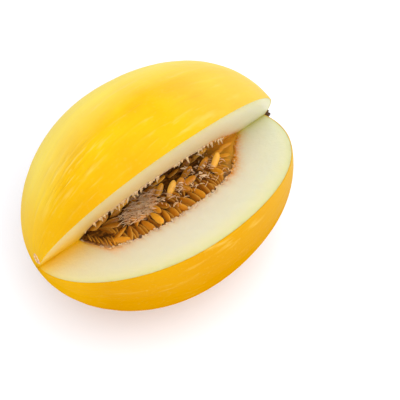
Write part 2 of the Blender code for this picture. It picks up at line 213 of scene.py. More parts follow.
# The wax shines on the upper half only, and most on the crown.
add_node(rind_mat, "Math", {0: height, 1: 1 / (700 * MM), 2: -0.1}, to="Specular IOR Level", **RAMP)
blossom_end = add_node(rind_mat, "Math", {0: along, 1: -1 / (16 * MM), 2: -4.6}, **RAMP)
blossom_end = add_node(rind_mat, "Math", {0: blossom_end, 1: 0.4}, **TIMES)
for amount, tint in ((stem_side, "#e8d46c"), (blossom_half, "#d89a00"), (lower_painted_shade, "#c67a00"),
                    (near_painted_shade, "#c98a00"), (far_painted_sheen, "#f4e670"), (blossom_end, "#f6c010")):
    colour = add_node(rind_mat, "Mix", {0: amount, 6: colour, 7: tint}, **BLEND)
streaks = add_node(rind_mat, "TexNoise", {"Vector": lengthwise, "Scale": 1 / (5 * MM),
                                         "Detail": 3.0, "Distortion": 0.4})
streak = add_node(rind_mat, "Math", {0: streaks, 1: 5.5, 2: -3.0}, **RAMP)
patches = add_node(rind_mat, "TexNoise", {"Vector": place, "Scale": 1 / (26 * MM), "Detail": 2.0})
patch = add_node(rind_mat, "Math", {0: patches, 1: 5.0, 2: -2.2}, **RAMP)
# A band of finer creases, 2 to 3 mm apart, lies on the crown of the blossom half.
band = add_node(rind_mat, "Mapping", {"Vector": place, "Scale": (1 / (34 * MM), 1 / (15 * MM), 1 / (34 * MM)),
                                      "Location": (58 / 34, -9 / 15, -124 / 34)})
band = add_node(rind_mat, "TexGradient", {"Vector": band}, "Fac", gradient_type="SPHERICAL")
fine = add_node(rind_mat, "TexNoise", {"Vector": lengthwise, "Scale": 1 / (3 * MM),
                                      "Detail": 2.0, "Distortion": 0.3})
fine_streak = add_node(rind_mat, "Math", {0: fine, 1: 7.0, 2: -3.7}, **RAMP)
band = add_node(rind_mat, "Math", {0: band, 1: 1.6}, use_clamp=True, **TIMES)
fine_streak = add_node(rind_mat, "Math", {0: fine_streak, 1: band}, **TIMES)
streak = add_node(rind_mat, "Math", {0: streak, 1: patch, 2: fine_streak}, **RAMP)
crown = add_node(rind_mat, "Math", {0: height, 1: 1 / (30 * MM), 2: -2.3}, **RAMP)
crown = add_node(rind_mat, "Math", {0: crown, 1: 0.35, 2: 0.15}, **LINE)
streak = add_node(rind_mat, "Math", {0: streak, 1: crown}, **TIMES)
colour = add_node(rind_mat, "Mix", {0: streak, 6: colour, 7: "#ead070"}, **BLEND)
freckles = add_node(rind_mat, "TexNoise", {"Vector": place, "Scale": 1 / (2.2 * MM), "Detail": 3.0})
freckle = add_node(rind_mat, "Math", {0: freckles, 1: 3.0, 2: -1.7}, **RAMP)
freckle = add_node(rind_mat, "Math", {0: freckle, 1: 0.15}, **TIMES)
add_node(rind_mat, "Mix", {0: freckle, 6: colour, 7: "#e5cd6e"}, to="Base Color", **BLEND)
creased = add_node(rind_mat, "Math", {0: fine, 1: band}, **TIMES)
creases = add_node(rind_mat, "Math", {0: streaks, 1: 1.0, 2: patches}, **LINE)
creases = add_node(rind_mat, "Math", {0: creased, 1: 1.8, 2: creases}, **LINE)
add_node(rind_mat, "Bump", {"Height": creases, "Distance": 1.2 * MM, "Strength": 0.5},
         to="Normal")

edge_steps = np.array((0, 0.12, 0.3, 0.55, 0.9, 1.6, 2.6)) * MM / GIRTH
outer_around = np.concatenate((LOWER_CUT + edge_steps,
                               np.linspace(LOWER_CUT + 0.05, UPPER_CUT + WHOLE_TURN - 0.05, 212),
                               UPPER_CUT + WHOLE_TURN - edge_steps[::-1]))
inner_around = np.linspace(UPPER_CUT + WHOLE_TURN, LOWER_CUT, 116)
t_rows = np.linspace(0, math.pi, 261)[:, None]
edge_gap = np.minimum(outer_around - LOWER_CUT, UPPER_CUT + WHOLE_TURN - outer_around) * GIRTH
rounding = 0.3 * MM * np.exp(-(edge_gap / (0.35 * MM)) ** 2)
# The skin puckers round the stalk and the blossom scar, and has faint lengthwise hollows.
pucker = (0.22 * MM * np.cos(17 * outer_around + 2 * np.sin(3 * outer_around))
          * np.exp(-(np.sin(t_rows) / 0.16) ** 2))
hollows = 0.3 * MM * waves(shell(t_rows, outer_around, 0) * (0.3, 1, 1), 15 * MM, 3) * np.sin(t_rows)
sunk = 0.15 * MM + rounding + np.abs(pucker) + np.maximum(hollows, 0)
outer = shell(t_rows, outer_around, sunk)
inner = shell(t_rows, inner_around, RIND)
points = np.concatenate((settle(outer, 0), settle(inner, RIND)), axis=1)
# The creases follow the turn around the axis, so that they run together at both ends.
turn = np.broadcast_to(np.concatenate((outer_around, inner_around)), points.shape[:2])
make_piece("rind", points, grid_quads(*points.shape[:2]), rind_mat,
           {"round_y": GIRTH * np.cos(turn), "round_z": GIRTH * np.sin(turn)})


# Flesh: crisp, wet and cream-coloured, greener toward the rind. The knife left two smooth faces.
# Between them lies the cavity, whose soft wall is ribbed where the seed strings were attached.
CAVITY_HALF_LENGTH, CAVITY_CENTRE = 68 * MM, -1.5 * MM
CAVITY_RADIUS, CAVITY_LOBE, LOBE_ANGLE = 30.5 * MM, 4 * MM, math.radians(166)
STEM_END_POINT = 4
RIB_COUNT, RIB_DEPTH = 24, 3 * MM
FLESH_START = RIND + 0.02 * MM
WALL_RADIUS, DEEP = 30 * MM, 30 * MM
FACE_COLUMNS, OUTER_COLUMNS, WALL_COLUMNS = 36, 56, 78


def rib_crest(along, around, half_length=CAVITY_HALF_LENGTH):
    """Radius of the cavity at the crests of its ribs: an ellipse with three lobes and a pointed end."""
    reach = (along - CAVITY_CENTRE) / half_length
    taper = np.sqrt(np.maximum(0.0, 1 - reach * reach))
    taper = taper / (1 + STEM_END_POINT * np.maximum(0.0, reach) ** 8)
    return (CAVITY_RADIUS + CAVITY_LOBE * np.cos(3 * (around - LOBE_ANGLE))) * taper


def rise(value, start, end):
    """0 up to start, 1 from end on, and a smooth step between them."""
    share = np.clip((value - start) / (end - start), 0, 1)
    return share * share * (3 - 2 * share)


def lip_radius(along, around):
    """The crests' radius, drawn in to nothing where flesh closes the cavity's blossom end."""
    return rib_crest(along, around) * np.sqrt(rise(along, -63 * MM, -54 * MM))


def rib_furrow(along, around):
    """How far into a furrow a point of the wall lies: 0 on a crest and 1 in a furrow's middle."""
    phase = (along - CAVITY_CENTRE) / CAVITY_HALF_LENGTH * RIB_COUNT / 2
    phase = phase + 0.1 * np.sin(2 * around + 9 * phase) + 0.16 * np.sin(2.3 * phase + 1.0)
    return (0.5 - 0.5 * np.cos(WHOLE_TURN * phase)) ** 0.6


def cavity_wall(along, around):
    """Radius of the cavity's wall: the crests, plus furrows that fade toward both ends."""
    reach = np.clip((along - CAVITY_CENTRE) / CAVITY_HALF_LENGTH, -1, 1)
    fade = 1 - reach ** 4
    y, z = WALL_RADIUS * np.cos(around), WALL_RADIUS * np.sin(around)
    spread = np.stack(np.broadcast_arrays(along, y, z), axis=-1)
    ragged = 0.45 * MM * waves(spread, 4 * MM, 21) + 0.3 * MM * waves(spread, 1.7 * MM, 22)
    depth = RIB_DEPTH * (0.45 + 0.2 * waves(spread, 13 * MM, 23)) * rib_furrow(along, around)
    crest = lip_radius(along, around)
    return np.maximum(crest + (depth + ragged) * fade * np.minimum(1, crest / (6 * MM)), 0)


def ease(count):
    """Shares from 0 to 1 that crowd toward both ends, as half a cosine wave does."""
    return 0.5 - 0.5 * np.cos(np.linspace(0, math.pi, count))


middle = np.arange(66.8, -69.8, -0.42) * MM / HALF_LENGTH
stem_rows = np.linspace(0, math.acos(middle[0]), 34)[:-1]
blossom_rows = np.linspace(math.acos(middle[-1]), math.pi, 32)[1:]
t_rows = np.concatenate((stem_rows, np.arccos(middle), blossom_rows))[:, None]
axis_along = (HALF_LENGTH - FLESH_START) * np.cos(t_rows)


def cut_face(around, off):
    """A face from the cavity's lip to the rind: straight rows, sunk a little in the lip's furrows.

    Gives its points and how far each is from the lip. off is the direction off the face.
    """
    share = ease(FACE_COLUMNS)[None, :]
    lip = about_axis(axis_along, cavity_wall(axis_along, around), around)
    rim = shell(t_rows, np.array(around), FLESH_START)
    flat = lip + (rim - lip) * share[..., None]
    from_lip = np.linalg.norm(rim - lip, axis=-1) * share
    open_here = lip_radius(axis_along, around) > 2 * MM
    sink = (0.25 + 0.7 * rib_furrow(axis_along, around)) * MM * np.exp(-from_lip / (1.3 * MM)) * open_here
    ripple = 0.07 * MM * waves(flat, 9 * MM, 31) * np.clip(from_lip / (3 * MM), 0, 1) * (1 - share ** 6)
    return flat + (ripple - sink)[..., None] * off, from_lip


LOWER_OUT = np.array((0, math.cos(LOWER_CUT), math.sin(LOWER_CUT)))
LOWER_OFF = np.array((0, math.sin(LOWER_CUT), -math.cos(LOWER_CUT)))
UPPER_OUT = np.array((0, math.cos(UPPER_CUT), math.sin(UPPER_CUT)))
UPPER_OFF = np.array((0, -math.sin(UPPER_CUT), math.cos(UPPER_CUT)))
lower_face, lower_gap = cut_face(LOWER_CUT, LOWER_OFF)
upper_face, upper_gap = cut_face(UPPER_CUT, UPPER_OFF)
outer_around = np.linspace(LOWER_CUT, UPPER_CUT + WHOLE_TURN, OUTER_COLUMNS + 2)[None, 1:-1]
outer = shell(t_rows, outer_around, FLESH_START)
turned_back = (LOWER_CUT - UPPER_CUT - WHOLE_TURN) * ease(WALL_COLUMNS + 2)
wall_around = (UPPER_CUT + WHOLE_TURN + turned_back)[None, 1:-1]
wall = about_axis(axis_along, cavity_wall(axis_along, wall_around), wall_around)
points = settle(np.concatenate((lower_face, outer, upper_face[:, ::-1], wall), axis=1), FLESH_START)

rows = len(t_rows)
radius = np.linalg.norm((points - AXIS_PLACE)[..., 1:], axis=-1)
along = points[..., 0] - AXIS_PLACE[0]
deep_outer, at_wall = np.full((rows, OUTER_COLUMNS), DEEP), np.zeros((rows, WALL_COLUMNS))
from_wall = np.concatenate((lower_gap, deep_outer, upper_gap[:, ::-1], at_wall), axis=1)
from_rind = np.concatenate((lower_gap[:, -1:] - lower_gap, deep_outer * 0,
                            (upper_gap[:, -1:] - upper_gap)[:, ::-1], at_wall + DEEP), axis=1)
upper_side = np.zeros(points.shape[:2])
upper_side[:, FACE_COLUMNS + OUTER_COLUMNS:2 * FACE_COLUMNS + OUTER_COLUMNS] = 1
# The seed strings stain the flesh orange at both ends of the cavity. The flesh is peach along the
# lips, more widely so at the blossom end. The valley where the faces meet glows golden at the
# blossom end and olive at the stem end.
stem_stain = (1.5 * np.exp(-from_wall / (3.6 * MM)) * rise(along, 20 * MM, 42 * MM)
              * (1 - rise(along, 66 * MM, 74 * MM)))
blossom_stain = (0.5 * np.exp(-from_wall / (5 * MM)) * rise(-along, 40 * MM, 56 * MM)
                 * (1 - rise(-along, 63 * MM, 70 * MM)))
halo = np.exp(-from_wall / (3.5 * MM)) * (lip_radius(along, LOWER_CUT) > 0)
halo += (0.9 * np.exp(-(from_wall / (6 * MM)) ** 2) * rise(-along, 40 * MM, 54 * MM)
         * (1 - rise(-along, 62 * MM, 68 * MM)))
golden = np.exp(-(radius / (12 * MM)) ** 1.3) * rise(-along, 50 * MM, 64 * MM)
olive = np.exp(-radius / (3.5 * MM)) * rise(along, 56 * MM, 64 * MM)

# Ripe melon flesh, cut with a knife: watery cells scatter light, so the colour is soft, and the
# juice leaves a thin uneven gloss. Veins 2 to 5 mm apart show faintly.
flesh_mat = new_material("cut_melon_flesh", "#d9d0b3", 0.4, Specular_IOR_Level=0.4, Coat_Weight=0.1,
                         Coat_Roughness=0.25, Subsurface_Weight=0.35, Subsurface_Scale=4 * MM,
                         Subsurface_Radius=(1.0, 0.75, 0.35))
place = add_node(flesh_mat, "TexCoord", {}, "Object")
along_x = add_node(flesh_mat, "SeparateXYZ", {0: place}, "X")
depth, stain, ring, gold, green, upper_share = (
    add_node(flesh_mat, "Attribute", {}, "Fac", attribute_name=key)
    for key in ("from_rind", "stain", "halo", "golden", "olive", "upper_side"))
mottle = add_node(flesh_mat, "TexNoise", {"Vector": place, "Scale": 1 / (5 * MM), "Detail": 5.0})
cells = add_node(flesh_mat, "TexNoise", {"Vector": place, "Scale": 1 / (1.6 * MM), "Detail": 4.0})
depth = add_node(flesh_mat, "Math", {0: mottle, 1: 4 * MM, 2: depth}, **LINE)
depth = add_node(flesh_mat, "Math", {0: depth, 1: 1 / DEEP, 2: -0.07}, **RAMP)
colour = add_node(flesh_mat, "ValToRGB", {0: depth}, stops=(
    (0.0, "#cfcc82"), (1.0, "#dbd6c4"), (0.05, "#d8d59c"), (0.2, "#dedab2"), (0.45, "#dbd8c0")))
stem_side = add_node(flesh_mat, "Math", {0: along_x, 1: 1 / (260 * MM), 2: 0.05}, **RAMP)
blossom_side = add_node(flesh_mat, "Math", {0: along_x, 1: -1 / (190 * MM), 2: -0.1}, **RAMP)
# Painted light: the upper face is tinted warmer, standing in for the warm light bounced onto it, since less
# white light reaches it.
upper_painted_warmth = add_node(flesh_mat, "Math", {0: along_x, 1: -1 / (220 * MM), 2: 0.42}, **RAMP)
upper_painted_warmth = add_node(flesh_mat, "Math", {0: upper_painted_warmth, 1: upper_share}, **TIMES)
inward = add_node(flesh_mat, "Math", {0: depth, 1: 0.8, 2: 0.55}, **LINE)
upper_painted_warmth = add_node(flesh_mat, "Math", {0: upper_painted_warmth, 1: inward}, **TIMES)
ring = add_node(flesh_mat, "Math", {0: ring, 1: 0.65}, **TIMES)
bleed = add_node(flesh_mat, "Math", {0: cells, 1: 3.0, 2: -0.7}, **RAMP)
bleed = add_node(flesh_mat, "Math", {0: bleed, 1: stain}, use_clamp=True, **TIMES)
for amount, tint in ((stem_side, "#d4d8b6"), (blossom_side, "#d4cb98"), (upper_painted_warmth, "#eec870"),
                    (ring, "#e8b884"), (bleed, "#dc8c14"), (gold, "#eec400")):
    colour = add_node(flesh_mat, "Mix", {0: amount, 6: colour, 7: tint}, **BLEND)
green = add_node(flesh_mat, "Math", {0: green, 1: 0.7}, **TIMES)
add_node(flesh_mat, "Mix", {0: green, 6: colour, 7: "#c6bd30"}, to="Base Color", **BLEND)
veins = add_node(flesh_mat, "Math", {0: mottle, 1: 2.5, 2: cells}, **LINE)
add_node(flesh_mat, "Bump", {"Height": veins, "Distance": 0.35 * MM, "Strength": 0.35},
         to="Normal")

flesh = make_piece("flesh", points, grid_quads(*points.shape[:2]), flesh_mat,
                   {"from_rind": from_rind, "stain": stem_stain + blossom_stain, "halo": halo,
                    "golden": golden, "olive": olive, "upper_side": upper_side})
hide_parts("melon_body")


# Torn edge: the seed strings tore when the melon was opened. Soft teeth of flesh hang from the
# upper lip, one at each rib or so, and the lower lip is frayed into crumbs.
def tongues(paths, widths, depths, across, sides):
    """Closed bodies along paths: ellipses square to each path, with half-axes widths and depths."""
    tangent = np.gradient(paths, axis=1)
    tangent /= np.linalg.norm(tangent, axis=-1, keepdims=True)
    side = across - (across * tangent).sum(-1, keepdims=True) * tangent
    side /= np.linalg.norm(side, axis=-1, keepdims=True)
    face = np.cross(tangent, side)
    turn = np.linspace(0, WHOLE_TURN, sides, endpoint=False)[:, None]
    return (paths[:, :, None] + side[:, :, None] * (widths[..., None, None] * np.cos(turn))
            + face[:, :, None] * (depths[..., None, None] * np.sin(turn)))


def curves(starts, middles, ends, count):
    """Paths of count points: parabolas that start at, lean to and end at the given points."""
    s = np.linspace(0, 1, count)[None, :, None]
    return starts[:, None] * (1 - s) ** 2 + 2 * middles[:, None] * s * (1 - s) + ends[:, None] * s ** 2


def many_quads(quads, points_each, count):
    """The same quads for each of count copies."""
    return (quads[None] + (np.arange(count) * points_each)[:, None, None]).reshape(-1, 4)


def on_face(along, out_by, lift, out=LOWER_OUT, off=LOWER_OFF):
    """Points on a cut face, the lower one unless told: places along the axis, distances from it and
    heights above the face, in metres.
    """
    along, out_by, lift = np.broadcast_arrays(along, out_by, lift)
    return AXIS_PLACE + along[..., None] * (1, 0, 0) + out_by[..., None] * out + lift[..., None] * off


draw = np.random.default_rng(8)
long_teeth = np.array((-54, -49, -42, -39.5, -37, -34, -30.5, -27, -24.5, -21, -9, 8.5, 14.5, 24.5, 27,
                       32.5, 36, 43, 45.5))
short_teeth = draw.uniform(-62, 50, 34)
along = np.concatenate((long_teeth, short_teeth)) * MM
count = len(along)
lip = rib_crest(along, UPPER_CUT)
length = np.where(np.arange(count) < len(long_teeth), draw.uniform(3.2, 5.2, count),
                  draw.uniform(0.6, 2.2, count)) * MM
starts = on_face(along, lip + 1.6 * MM, -0.6 * MM, UPPER_OUT, UPPER_OFF)
middles = on_face(along, lip - 0.2 * MM, draw.uniform(-0.2, 0.3, count) * MM, UPPER_OUT, UPPER_OFF)
drop = np.stack((draw.uniform(-0.1, 0.5, count), draw.uniform(-0.3, 0.1, count), -np.ones(count)), axis=-1)
ends = middles + drop * length[:, None] - UPPER_OUT * (draw.uniform(0.1, 0.6, count) * MM)[:, None]
paths = curves(starts, middles, ends, 12)
s = np.linspace(0, 1, 12)[None, :]
widths = draw.uniform(0.8, 1.3, count)[:, None] * MM * (1 - s) ** 0.5 * (1 - 0.2 * s) * np.minimum(1, 6 * s)
tooth_points = tongues(paths, widths, widths * 0.6, np.array((1.0, 0, 0)), 12)
tooth_points += 0.15 * MM * waves(tooth_points, 2 * MM, 61)[..., None] * (1, 0.5, 0.5)

crumbs = 110
along = draw.uniform(-64, 52, crumbs) * MM
lip = lip_radius(along, LOWER_CUT) + draw.normal(0.3, 0.5, crumbs) * MM
heading = draw.normal(0, 0.5, crumbs)
reach = draw.uniform(1.4, 3.6, crumbs) * MM
starts = on_face(along, lip + 0.6 * reach, -1.0 * MM)
middles = on_face(along, lip, draw.uniform(-0.2, 0.2, crumbs) * MM)
ends = on_face(along + 0.5 * reach * np.sin(heading), lip - 0.5 * reach * np.cos(heading),
               draw.uniform(-1.2, 0, crumbs) * MM)
paths = curves(starts, middles, ends, 9)
s = np.linspace(0, 1, 9)[None, :]
widths = draw.uniform(0.5, 1.1, crumbs)[:, None] * MM * np.sin(math.pi * s) ** 0.6
crumb_points = tongues(paths, widths, widths * 0.5, np.array((1.0, 0.1, 0.1)), 9)
crumb_points += 0.2 * MM * waves(crumb_points, 1.6 * MM, 62)[..., None] * (1, 0.5, 0.5)

points = np.concatenate((tooth_points.reshape(-1, 3), crumb_points.reshape(-1, 3)))
quads = np.concatenate((many_quads(grid_quads(12, 12), 144, count),
                        many_quads(grid_quads(9, 9), 81, crumbs) + 144 * count))
along, on_teeth = points[:, 0] - AXIS_PLACE[0], np.arange(len(points)) < 144 * count
nowhere = np.zeros(len(points))
make_piece("torn_edge", points, quads, flesh_mat,
           {"from_rind": nowhere + DEEP, "stain": (0.25 + 0.75 * rise(along, 22 * MM, 46 * MM)) * ~on_teeth,
            "halo": nowhere + 1, "golden": nowhere, "olive": nowhere, "upper_side": on_teeth * 0.9})


# Pulp: the soft wet bed that holds the seeds. It fills the cavity behind both cut faces, reaches
# into the furrows of the wall, and is lumpy, with pits where seeds have come away.
GAP = 0.4 * MM
FILLED_HALF_LENGTH = CAVITY_HALF_LENGTH - 1.5 * MM
PULP_CENTRE_DEPTH = 13 * MM
LOWER_RECESS, UPPER_RECESS = 3.4 * MM, 6 * MM


def pulp_grid(rows, columns):
    """Rays from a line below the axis, each to the nearer of the recessed planes and the wall.

    The planes lie below the cut faces, less deep where the cavity narrows, and a quarter less
    again at the blossom end.
    """
    t = np.linspace(0, math.pi, rows)[:, None]
    around = np.linspace(0, WHOLE_TURN, columns, endpoint=False)[None, :]
    along = 0.8 * MM + 65.4 * MM * np.cos(t)
    taper = rib_crest(along, LOBE_ANGLE) / (CAVITY_RADIUS + CAVITY_LOBE)
    sunk = taper * (1 - 0.25 * rise(-along, 54 * MM, 64 * MM))
    bisector = (LOWER_CUT + UPPER_CUT) / 2 + math.pi
    centre_y = PULP_CENTRE_DEPTH * taper * math.cos(bisector)
    centre_z = PULP_CENTRE_DEPTH * taper * math.sin(bisector)
    ray_y, ray_z = np.cos(around), np.sin(around)
    near, reach = np.zeros((rows, columns)), np.full((rows, columns), 2 * CAVITY_RADIUS)
    for _ in range(18):
        middle = (near + reach) / 2
        y, z = centre_y + ray_y * middle, centre_z + ray_z * middle
        beyond = np.hypot(y, z) > lip_radius(along, np.arctan2(z, y)) + 3 * MM * taper
        near, reach = np.where(beyond, near, middle), np.where(beyond, middle, reach)
    above = np.zeros((rows, columns))
    for off, recess in ((LOWER_OFF, LOWER_RECESS - 0.8 * MM), (UPPER_OFF, UPPER_RECESS - 1.5 * MM)):
        depth = -(centre_y * off[1] + centre_z * off[2]) - recess * sunk
        climb = ray_y * off[1] + ray_z * off[2]
        above = np.maximum(above, np.where(climb > 0.02, depth / np.maximum(climb, 0.02), 1))
    length = np.minimum(np.maximum(reach, 0), above)
    y, z = centre_y + ray_y * length, centre_z + ray_z * length
    points = np.stack(np.broadcast_arrays(along, y, z), axis=-1)
    lumps = 0.04 * waves(points, 7 * MM, 51) + 0.025 * waves(points, 3 * MM, 52) - 0.02
    for pit_along, pit_out in ((-51, 5), (-44, 1), (-19, 9)):
        apart = np.hypot(along - pit_along * MM, (points * LOWER_OUT).sum(-1) - pit_out * MM)
        lumps = lumps - 0.3 * np.exp(-(apart / (3 * MM)) ** 2)
    length = length * (1 + lumps * np.sin(t))
    return np.stack(np.broadcast_arrays(along, centre_y + ray_y * length, centre_z + ray_z * length), axis=-1)


# Melon placenta: wet, translucent and amber to brown. Its browns are kept dark as painted shade, since it
# shows mostly in the gaps between the seeds. Its threads are about 2 mm apart. It is orange jelly at the stem
# end, and peach along the blossom end's lower lip.
pulp_mat = new_material("wet_melon_pulp", "#6b3b0e", 0.4, Coat_Weight=0.15, Coat_Roughness=0.2,
                        Subsurface_Weight=0.15, Subsurface_Scale=2 * MM, Subsurface_Radius=(1.0, 0.5, 0.15))
place = add_node(pulp_mat, "TexCoord", {}, "Object")
along_x = add_node(pulp_mat, "SeparateXYZ", {0: place}, "X")
threads = add_node(pulp_mat, "TexNoise", {"Vector": place, "Scale": 1 / (2.2 * MM), "Detail": 5.0})
colour = add_node(pulp_mat, "ValToRGB", {0: threads}, stops=(
    (0.36, "#3e2004"), (0.8, "#d09c58"), (0.52, "#74440c"), (0.66, "#a86c1e")))
stem_end = add_node(pulp_mat, "Math", {0: along_x, 1: 1 / (20 * MM), 2: -1.5}, **RAMP)
stem_end = add_node(pulp_mat, "Math", {0: stem_end, 1: 0.8}, **TIMES)
colour = add_node(pulp_mat, "Mix", {0: stem_end, 6: colour, 7: "#ecac2c"}, **BLEND)
blossom_end = add_node(pulp_mat, "Math", {0: along_x, 1: -1 / (9 * MM), 2: -5.6}, **RAMP)
at_lip = add_node(pulp_mat, "Attribute", {}, "Fac", attribute_name="at_lip")
blossom_end = add_node(pulp_mat, "Math", {0: blossom_end, 1: at_lip}, **TIMES)
add_node(pulp_mat, "Mix", {0: blossom_end, 6: colour, 7: "#f0b478"}, to="Base Color", **BLEND)
add_node(pulp_mat, "Bump", {"Height": threads, "Distance": 0.7 * MM, "Strength": 0.7},
         to="Normal")
points = pulp_grid(190, 150)
below_lip = lip_radius(points[..., 0], LOWER_CUT) - (points * LOWER_OUT).sum(-1)
at_lip = 0.95 * np.exp(-(np.maximum(below_lip, 0) / (3.5 * MM)) ** 2)
pulp = make_piece("pulp", points + AXIS_PLACE, grid_quads(190, 150), pulp_mat,
                  {"at_lip": at_lip})
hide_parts("seed_mass")


# Seeds: 114 flat teardrop seeds in a wet coat, most of them sunk in the pulp. Rows lie fanned along
# the cavity's lower edge, and big ones lean against the pulp under the upper edge.
SEED_LENGTH, SEED_WIDTH, SEED_THICKNESS = 13.5 * MM, 5.6 * MM, 2.3 * MM
ROOT_MARGIN = 0.3 * MM
RANDOM_SEED = 11


def clear_radius(along, around):
    """Radius that the seeds stay within, a gap inside the ribs."""
    return float(rib_crest(along, around, FILLED_HALF_LENGTH)) - GAP


def inside_pulp(point, margin):
    """True where a point lies in the pulp's plain form, without lumps, at least margin deep."""
    if point.yz.length > clear_radius(point.x, math.atan2(point.z, point.y)) - margin:
        return False
    taper = float(rib_crest(point.x, LOBE_ANGLE)) / (CAVITY_RADIUS + CAVITY_LOBE)
    return any(-point.dot(Vector(off)) > recess * taper + margin
               for off, recess in ((LOWER_OFF, LOWER_RECESS), (UPPER_OFF, UPPER_RECESS)))


def from_tip(along, out_by, lift, heading, rise_by, roll, size):
    """The same seed, where the given place is its tip instead of its root."""
    length = size * SEED_LENGTH / MM
    level = length * math.cos(math.radians(rise_by))
    return (along - level * math.sin(math.radians(heading)), out_by - level * math.cos(math.radians(heading)),
            lift - length * math.sin(math.radians(rise_by)), heading, rise_by, roll, size)


def seed_rows(draw):
    """Every seed as (along, out, lift, heading, rise, roll, size), in millimetres and degrees.

    along is the root's place on the axis, out its distance from the axis on the lower cut face
    and lift its height above that face. heading turns the seed on the face: 0 points outward, 90
    to the stem end. rise tips it off the face, and roll turns it about its own length.
    """
    seeds = []
    # A bed of seeds lies in the pulp, below the ones that show best.
    along = -50.0
    while along < 36:
        edge = 1000 * float(rib_crest(along * MM, LOWER_CUT))
        seeds.append((along, edge - 15, -2.4, draw.uniform(-12, 12), -4, draw.uniform(30, 70), 1.0))
        seeds.append((along + 1, edge - 26, -2.4, draw.uniform(-20, 20), 0, draw.uniform(20, 70), 0.95))
        along += draw.uniform(3.9, 4.7)
    # The outer row lies fanned out side by side, with its tips at the cavity's lower edge.
    for along, out, lift, heading in (
            (-43, 28, -1.2, -30), (-38, 27, 0.4, -13), (-32.5, 32, -1.0, -8), (-27, 33.5, 0.8, 4),
            (-24, 34, -1.4, -20), (-21, 32, 1.0, 0), (-17.5, 35, -0.8, -14), (-14, 34.5, 0.6, -4),
            (-11, 34.5, -1.2, -6), (-6, 33, 0.4, -11), (-3, 35.5, -1.4, 9), (3, 35.5, 1.2, 12),
            (6.5, 34.5, -1.2, 0), (11, 34, 0.6, 0), (14.5, 33, -0.8, -8), (18.5, 32, 0.4, -5),
            (24, 31, 0.2, -7), (28, 28.5, 0.2, -18), (31.5, 26, -0.6, 2), (36, 24, -0.4, 14)):
        seeds.append(from_tip(along, out, lift, heading, draw.uniform(-8, -2), draw.uniform(15, 50), 1.0))
    # The middle row shows between the pulp's threads.
    along = -27.0
    while along < 30:
        seeds.append((along, draw.uniform(4, 9), -0.2, draw.uniform(-25, 25), draw.uniform(-6, 8),
                      draw.uniform(20, 70), 0.95))
        along += draw.uniform(4.6, 6.0)
    # Thin seeds at the upper cut point along the melon and stay in its shadow.
    along = -55.0
    while along < 40:
        seeds.append((along, draw.uniform(-7, -4), -0.4, draw.uniform(66, 92), draw.uniform(14, 34),
                      draw.uniform(0, 60), 0.9))
        along += draw.uniform(4.8, 6.4)
    # Big seeds lean on that pulp, with their faces turned up and out.
    for along, out, heading, rise_by, size in (
            (24, 7, 91, 33, 1.0), (5, 11, 75, 18, 1.08), (0, 9.5, 88, 31, 1.08),
            (-5, 12.5, 104, 40, 1.04), (-9.5, 4.5, 100, 38, 0.95), (-13, -0.5, 82, 25, 0.95),
            (-33, 0, 82, 25, 0.95), (-47, -1.5, 68, 10, 0.95), (12, 3, 84, 30, 0.95)):
        seeds.append((along, out, 0.9, heading, rise_by, draw.uniform(32, 52), size))
    # A comb of thin seeds stands on edge at the blossom end.
    for step in range(8):
        seeds.append(from_tip(-58.5 + 1.25 * step, 7 + 2.7 * step, 0.3, draw.uniform(-20, -8), -4, 76, 0.72))
    # Big loose seeds lie flat in front of that comb.
    seeds.append((-47, 0.5, 1.0, 50, 2, 20, 0.9))
    seeds.append((-35.5, 11.5, 1.3, -69, 0, 20, 1.06))
    seeds.append((-48, 19.5, 0.8, 42, -2, 22, 1.0))
    # Seeds at the stem end sit deep in jelly and point to its tip.
    seeds.append((30, 15, 0.9, 103, 40, 40, 1.04))
    for along, out, lift, heading, rise_by in (
            (35, 11, 0.8, 18, -4), (38, 9, 0.6, 36, -4), (41, 7, 0.4, 48, -4),
            (37, 3, 1.6, 82, 8), (47, 3, 0.6, 78, 4)):
        seeds.append((along, out, lift, heading, rise_by, 40, 0.95))
    return seeds


def inside_seed(point, placed):
    """True where a point lies well inside a seed that is already in place."""
    for matrix in placed:
        local = matrix.inverted() @ point
        share = local.z / SEED_LENGTH
        if 0.1 < share < 0.9:
            full = math.sin(math.acos(2 * share - 1)) * (0.62 + 0.45 * share)
            across = 2 * local.x / (SEED_WIDTH * full)
            through = 2 * local.y / (SEED_THICKNESS * full)
            if across * across + through * through < 0.7:
                return True
    return False


